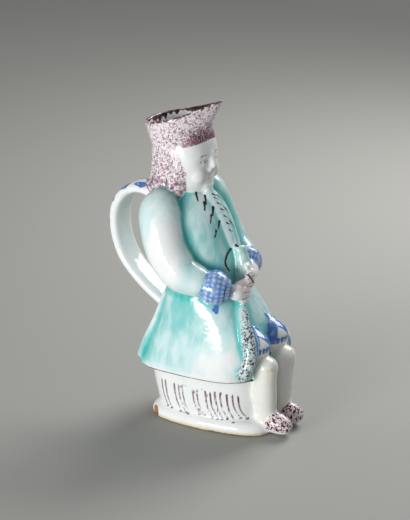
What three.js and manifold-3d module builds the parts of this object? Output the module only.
// A tin-glazed toby jug: a seated man in a long coat, pressed hollow in one piece with his seat.
// The open tricorne hat is the mouth, its front corner is the spout, and a strap handle stands behind him.
// Millimetres. +Z is up, the man faces -Y, his left hand is towards +X, and the origin is the middle of the underside.

import * as THREE from "three";
import { mergeVertices } from "three/addons/utils/BufferGeometryUtils.js";
import Module from "manifold-3d";

const wasm = await Module();
wasm.setup();

// ---- Driving dimensions -------------------------------------------------------------------------

const BRIM_WALL = 4; // clay at the hat's rim
const FLOOR = 9; // clay left under the hollow
const SPOUT_TIP = { y: 8, z: 280 }; // the front corner of the hat, and the top of the jug
const HAT_BACK = { y: 77, z: 257 }; // the hat's rim at the back
const HAT_BAND_Z = 236; // where the hat meets the head
const HEAD_Y = 46; // the head's own axis, behind the middle of the seat
const LEG_X = 15; // each knee's distance from the middle
const FOOT_X = 12;
const KNEE = { y: -43, z: 65 };
const HEM_Z = 47; // lower edge of the coat's skirt
const WAIST_Z = 114;
const HANDLE_WIDTH = 26;
const HANDLE_THICKNESS = 9;

const RIGHT = -1; // the man's right side
const LEFT = 1;

// ---- Shaping ------------------------------------------------------------------------------------

/** A smooth curve through evenly spaced values, at t from 0 to 1. */
function spline(values, t) {
  const last = values.length - 1;
  const i = Math.min(Math.floor(t * last), last - 1);
  const f = t * last - i;
  const [a, b, c, d] = [-1, 0, 1, 2].map((k) => values[THREE.MathUtils.clamp(i + k, 0, last)]);
  const slope = (c - a) * f;
  const bend = (2 * a - 5 * b + 4 * c - d) * f * f;
  const twist = (3 * b - a - 3 * c + d) * f ** 3;
  return 0.5 * (2 * b + slope + bend + twist);
}

/** A closed tube of rings. place(t, side, back) gives the point for a height t and a point on the unit circle. */
function skin(sides, steps, place) {
  const grid = new THREE.CylinderGeometry(1, 1, 1, sides, steps);
  const position = grid.getAttribute("position");
  const p = new THREE.Vector3();
  for (let i = 0; i < position.count; i++) {
    p.fromBufferAttribute(position, i);
    p.copy(place(p.y + 0.5, p.x, -p.z));
    position.setXYZ(i, p.x, p.y, p.z);
  }
  return grid;
}

/** A point of the unit circle, drawn out towards a square as p grows from 2. */
function squared(side, back, p) {
  const reach = (Math.abs(side) ** p + Math.abs(back) ** p) ** (1 / p);
  const scale = reach > 0 ? 1 / reach : 0;
  return [side * scale, back * scale];
}

/**
 * A form built of level rings, lowest first: z height, w half width, front and back edge in y,
 * p squareness and the share of the width that taper takes away at the front.
 */
function loft(rings, sides, steps) {
  const plain = { p: 2, taper: 0 };
  const at = (key, t) => spline(rings.map((ring) => ring[key] ?? plain[key]), t);
  return skin(sides, steps, (t, side, back) => {
    const [x, y] = squared(side, back, at("p", t));
    const width = at("w", t) * (1 - at("taper", t) * Math.max(0, -y));
    const middle = (at("front", t) + at("back", t)) / 2;
    const half = (at("back", t) - at("front", t)) / 2;
    return new THREE.Vector3(x * width, middle + y * half, at("z", t));
  });
}

/** A rounded limb along a smooth line of points, with its radius at each; its end caps keep a blunt share of it. */
function limb(points, radii, sides, steps, blunt = 0.4) {
  const line = new THREE.CatmullRomCurve3(points.map((p) => new THREE.Vector3(...p)));
  const length = line.getLength();
  return skin(sides, steps, (t, side, back) => {
    const u = (1 - Math.cos(Math.PI * t)) / 2;
    const radius = spline(radii, u);
    const inset = Math.min(1, (length * Math.min(u, 1 - u)) / radius);
    const round = radius * Math.max(blunt, Math.sqrt(1 - (1 - inset) ** 2));
    const along = line.getTangentAt(u);
    const across = new THREE.Vector3(1, 0, 0).addScaledVector(along, -along.x).normalize();
    const over = new THREE.Vector3().crossVectors(along, across);
    return line.getPointAt(u).addScaledVector(across, side * round).addScaledVector(over, back * round);
  });
}

/** An egg of three half sizes about a middle. */
function egg(middle, sizes, sides) {
  return new THREE.SphereGeometry(1, sides, Math.round(sides * 0.6)).scale(...sizes).translate(...middle);
}

// ---- Solids -------------------------------------------------------------------------------------

/** A closed geometry as a solid that can be joined and cut. */
function solid(geometry) {
  const bare = geometry.clone();
  bare.deleteAttribute("normal");
  bare.deleteAttribute("uv");
  const merged = mergeVertices(bare, 1e-3);
  const vertProperties = merged.getAttribute("position").array;
  const triVerts = new Uint32Array(merged.getIndex().array);
  return new wasm.Manifold(new wasm.Mesh({ numProp: 3, vertProperties, triVerts }));
}

/** All the geometries fused into one solid. */
function fuse(geometries) {
  return geometries.map(solid).reduce((whole, piece) => whole.add(piece));
}

/** A solid without the pinhole pockets that lie sealed between touching forms. */
function withoutPockets(body) {
  return body.decompose().reduce((kept, shell) => (shell.volume() > kept.volume() ? shell : kept));
}

/** A solid as a three.js geometry with flat faces. */
function geometryOf(body) {
  const mesh = body.getMesh();
  const geometry = new THREE.BufferGeometry();
  geometry.setAttribute("position", new THREE.BufferAttribute(new Float32Array(mesh.vertProperties), 3));
  geometry.setIndex(new THREE.BufferAttribute(new Uint32Array(mesh.triVerts), 1));
  geometry.computeVertexNormals();
  return geometry;
}

// ---- The seat and its base ------------------------------------------------------------------------

function base() {
  const plate = { w: 40, front: -48, back: 64, p: 4, taper: 0.18 };
  return loft(
    [
      { ...plate, z: 0 },
      { ...plate, z: 4, w: 41, front: -49, back: 65 },
      { ...plate, z: 8, w: 40, front: -48, back: 64 },
      { ...plate, z: 11, w: 37, front: -44, back: 61 },
    ],
    32,
    4,
  );
}

function seat() {
  const block = { p: 3.2, taper: 0.12 };
  return loft(
    [
      { ...block, z: 5, w: 36, front: -34, back: 59 },
      { ...block, z: 20, w: 37, front: -35, back: 63 },
      { ...block, z: 38, w: 38, front: -35, back: 67 },
      { ...block, z: 56, w: 38, front: -35, back: 68 },
      { ...block, z: 70, w: 34, front: -33, back: 60 },
    ],
    30,
    5,
  );
}

// ---- The coat -------------------------------------------------------------------------------------

function coatSkirt() {
  return loft(
    [
      { z: HEM_Z, w: 44, front: -33, back: 75, p: 3.6, taper: 0.08 },
      { z: HEM_Z + 3, w: 45, front: -34, back: 76, p: 3.6, taper: 0.08 },
      { z: 70, w: 42.5, front: -35, back: 69, p: 3.4, taper: 0.08 },
      { z: 90, w: 39, front: -31, back: 62, p: 2.9, taper: 0.05 },
      { z: WAIST_Z, w: 35, front: -14, back: 57, p: 2.4, taper: 0 },
      { z: WAIST_Z + 8, w: 30, front: -6, back: 52, p: 2.2, taper: 0 },
    ],
    34,
    6,
  );
}

function torso() {
  return loft(
    [
      { z: 100, w: 34, front: -12, back: 57 },
      { z: 120, w: 35, front: -10, back: 59 },
      { z: 140, w: 35, front: -7, back: 65 },
      { z: 160, w: 36, front: 0, back: 70 },
      { z: 180, w: 34, front: 9, back: 73 },
      { z: 193, w: 26, front: 17, back: 71 },
      { z: 202, w: 17, front: 27, back: 64 },
    ],
    26,
    8,
  );
}

/** The edge of the coat that falls from the waist over one thigh; the left one lies lower. */
function coatEdge(hand) {
  const line = hand === RIGHT
    ? [[-10, -15, 113], [-18.5, -24, 101], [-26, -33, 87], [-30.5, -37.5, 75], [-34.5, -36.5, 64], [-37.5, -31, 52]]
    : [[7, -13, 109], [13, -21, 95], [19, -29, 85.5], [25, -35.5, 76], [31.5, -35.5, 64], [37, -30, 52]];
  return limb(line, [3.5, 5, 6.3, 6.5, 6, 5.5], 8, 8);
}

/** The pressed pleat that stands at one back corner of the skirt. */
function coatPleat(hand) {
  return limb(
    [
      [hand * 24, 49, 112],
      [hand * 28, 56, 88],
      [hand * 32, 64, 66],
      [hand * 34, 69, 51],
    ],
    [3, 4, 5, 4.5],
    8,
    5,
  );
}

function cravat() {
  return limb(
    [
      [0, 23, 197],
      [0, 14, 186],
      [0, 5, 170],
      [0, -2, 154],
    ],
    [6, 5.5, 5, 4],
    8,
    6,
  );
}

// ---- Arms, hands and the little pot that they hold ------------------------------------------------

/** A full sleeve; the left forearm turns further in across the lap than the right. */
function arm(hand) {
  const forearm = hand === RIGHT
    ? [[-41, 22, 138.5], [-38.5, 9, 133.5], [-35, -1, 130.5]]
    : [[39.5, 23, 139], [38, 13, 133.5], [32, 5, 130.5]];
  return limb(
    [
      [hand * 18, 51, 195],
      [hand * 33, 48.5, 188],
      [hand * 39.5, 43.5, 173],
      [hand * 41, 37.5, 157],
      [hand * 41, 30.5, 146.5],
      ...forearm,
    ],
    [14, 18, 18.3, 18.3, 17.8, 16, 13.5, 12],
    13,
    12,
  );
}

function cuff(hand) {
  const line = hand === RIGHT
    ? [[-38.5, 8, 131], [-33, -4, 129], [-27, -15.5, 127]]
    : [[40, 12, 131], [33, 5, 129.5], [24.5, -2, 128]];
  return limb(line, [14, 15.5, 15], 15, 5, 0.8);
}

function palm(hand) {
  const line = hand === RIGHT
    ? [[-26, -15, 125], [-15, -18.5, 121.5], [-4, -16.5, 120.5]]
    : [[25, -3, 128.5], [11, -12, 131], [-2, -16, 132]];
  return limb(line, [7, 7.2, 6.5], 10, 4);
}

/** The fingers of one hand, closed round the front of the pot, the left hand's above the right's. */
function fingers(hand) {
  const count = 3;
  const spread = 4.6;
  const [tip, top] = hand === RIGHT ? [-7, 125] : [-12, 136.5];
  return Array.from({ length: count }, (_, i) => {
    const z = top - i * spread;
    return limb(
      [
        [tip + hand * 13, -20, z + 1],
        [tip + hand * 7, -22.5, z],
        [tip, -21.5, z - 1],
      ],
      [3, 3, 2.6],
      7,
      3,
    );
  });
}

function pot() {
  return limb(
    [
      [0, -12, 122],
      [0, -13, 137],
      [0, -10.5, 148],
      [0, -7.5, 157],
    ],
    [7, 7, 5.6, 4.8],
    12,
    6,
  );
}

function potMouth() {
  return limb(
    [
      [0, -8.5, 152],
      [0, -6.2, 161],
    ],
    [2.6, 2.8],
    10,
    3,
  );
}

// ---- Legs -----------------------------------------------------------------------------------------

function thigh(hand) {
  return limb(
    [
      [hand * 14, -4, 86],
      [hand * 14.5, -26, 79],
      [hand * LEG_X, KNEE.y, KNEE.z + 5],
    ],
    [14, 14, 12.5],
    12,
    5,
  );
}

function shin(hand) {
  return limb(
    [
      [hand * LEG_X, KNEE.y - 1, KNEE.z + 4],
      [hand * (LEG_X - 0.5), KNEE.y, 50],
      [hand * (FOOT_X + 1.5), KNEE.y + 1, 34],
      [hand * FOOT_X, KNEE.y, 18],
      [hand * FOOT_X, KNEE.y, 5],
    ],
    [11.5, 9.8, 10.3, 8.8, 9.5],
    11,
    7,
  );
}

/** A blunt shoe whose toe stands out past the base, a little above the ground. */
function shoe(hand) {
  const toe = KNEE.y - (hand === RIGHT ? 24 : 21);
  return limb(
    [
      [hand * FOOT_X, KNEE.y - 1, 12],
      [hand * FOOT_X, KNEE.y - 11, 10],
      [hand * FOOT_X, toe, 8],
    ],
    [9.5, 9.2, 7],
    11,
    5,
  );
}

// ---- Head, wig and hat ----------------------------------------------------------------------------

function head() {
  return loft(
    [
      { z: 192, w: 16, front: 30, back: 62 },
      { z: 200, w: 17.5, front: 25, back: 64, p: 2.2 },
      { z: 208, w: 21, front: 21, back: 68, p: 2.4 },
      { z: 220, w: 23.5, front: 19.8, back: 69, p: 2.5 },
      { z: 234, w: 24.5, front: 19.5, back: 70, p: 2.5 },
      { z: 250, w: 23, front: 23, back: 69, p: 2.3 },
    ],
    22,
    7,
  );
}

function face() {
  const brow = 19.8;
  return [
    limb([[0, brow + 1.5, 235], [0, brow - 1, 227], [0, brow - 3.2, 220.5]], [2.6, 3, 3.6], 8, 4),
    egg([0, 24.5, 205], [8, 5.5, 5.5], 9),
    egg([RIGHT * 10, 27.5, 216], [8.5, 8, 9], 10),
    egg([LEFT * 10, 27.5, 216], [8.5, 8, 9], 10),
  ];
}

function wig() {
  return loft(
    [
      { z: 193, w: 23, front: 38, back: 70, p: 2.2 },
      { z: 203, w: 26.5, front: 30, back: 74, p: 2.4 },
      { z: 216, w: 26.5, front: 25, back: 72, p: 2.5 },
      { z: 230, w: 26, front: 24.5, back: 71, p: 2.5 },
      { z: 248, w: 24.5, front: 25, back: 72, p: 2.4 },
    ],
    24,
    5,
  );
}

/** The rolled curls that end the wig, side by side from one cheek round the nape to the other. */
function curls() {
  const count = 7;
  const openHalf = 1.25; // radians to each side of the face that carry no curl
  return Array.from({ length: count }, (_, i) => {
    const angle = openHalf + ((2 * Math.PI - 2 * openHalf) * i) / (count - 1);
    const drop = 2 * Math.cos(3 * angle);
    return egg([19.5 * Math.sin(angle), 51 - 18 * Math.cos(angle), 201.5 + drop], [9.8, 9.8, 11], 9);
  });
}

/** The height of the hat's rim over a point y of its middle line. */
function rimHeight(y) {
  const reach = THREE.MathUtils.clamp((HAT_BACK.y - y) / (HAT_BACK.y - SPOUT_TIP.y), 0, 1);
  return HAT_BACK.z + (SPOUT_TIP.z - HAT_BACK.z) * reach ** 1.6;
}

/** The hat's skin, drawn in by inset, from the band at t 0 to its rim at t 1 and past it. */
function hatSkin(inset, low, high, sides, steps) {
  return skin(sides, steps, (s, side, back) => {
    const t = low + (high - low) * s;
    const [roundSide, roundBack] = squared(side, back, back > 0 ? 2 + 0.9 * t : 2);
    const forward = Math.max(0, -roundBack);
    const pinch = 1 - 0.62 * t * forward ** 1.5;
    const width = THREE.MathUtils.lerp(25, 28.8, t) - inset;
    const sweep = Math.sign(t) * Math.abs(t) ** 2.5;
    const reach = back > 0 ? THREE.MathUtils.lerp(28, HAT_BACK.y - HEAD_Y, t)
      : THREE.MathUtils.lerp(22.5, HEAD_Y - SPOUT_TIP.y, sweep);
    const y = HEAD_Y + roundBack * (reach - inset);
    return new THREE.Vector3(
      roundSide * width * pinch,
      y,
      HAT_BAND_Z + (rimHeight(y) - HAT_BAND_Z) * t,
    );
  });
}

// ---- Handle and hollow ----------------------------------------------------------------------------

/** A flat strap that leaves the back under the curls and comes home on the coat's skirt. */
function handle() {
  const line = new THREE.CatmullRomCurve3(
    [
      [66, 189],
      [85, 193.5],
      [101, 188],
      [111, 172],
      [111, 149],
      [102, 127],
      [81, 107],
      [56, 91],
    ].map(([y, z]) => new THREE.Vector3(0, y, z)),
  );
  return skin(14, 19, (t, side, back) => {
    const [x, over] = squared(side, back, 3.5);
    const along = line.getTangentAt(t);
    const rise = (over * HANDLE_THICKNESS) / 2;
    return line.getPointAt(t).add(new THREE.Vector3((x * HANDLE_WIDTH) / 2, rise * along.z, -rise * along.y));
  });
}

/** The room for the drink, from over the floor up through the neck into the hat. */
function hollow() {
  return loft(
    [
      { z: FLOOR, w: 30, front: -27, back: 49, p: 3 },
      { z: 36, w: 32, front: -28, back: 57, p: 3 },
      { z: 62, w: 32.5, front: -27, back: 58, p: 2.8 },
      { z: 90, w: 31.5, front: -13, back: 54, p: 2.4 },
      { z: 117, w: 29, front: -3, back: 52, p: 2 },
      { z: 144, w: 29, front: 1, back: 59, p: 2 },
      { z: 171, w: 26, front: 12, back: 66, p: 2 },
      { z: 198, w: 12, front: 33, back: 59, p: 2 },
      { z: 225, w: 18.5, front: 28, back: 65, p: 2 },
      { z: 252, w: 20.5, front: 26, back: 66, p: 2 },
    ],
    22,
    14,
  );
}

// ---- The jug --------------------------------------------------------------------------------------

const clay = fuse([
  base(),
  seat(),
  coatSkirt(),
  torso(),
  cravat(),
  pot(),
  head(),
  ...face(),
  wig(),
  ...curls(),
  hatSkin(0, -0.15, 1, 34, 5),
  handle(),
  ...[RIGHT, LEFT].flatMap((hand) => [
    coatEdge(hand),
    coatPleat(hand),
    arm(hand),
    cuff(hand),
    palm(hand),
    ...fingers(hand),
    thigh(hand),
    shin(hand),
    shoe(hand),
  ]),
]);

const inside = fuse([hollow(), hatSkin(BRIM_WALL, 0.1, 1.25, 30, 4)]);
const body = withoutPockets(clay.subtract(inside).subtract(solid(potMouth())));

const glaze = new THREE.MeshStandardMaterial({ color: "#e9ecea", roughness: 0.12, metalness: 0 });
const jug = new THREE.Mesh(geometryOf(body), glaze);
jug.name = "jug";

const object = new THREE.Group();
object.add(jug);

export default object;
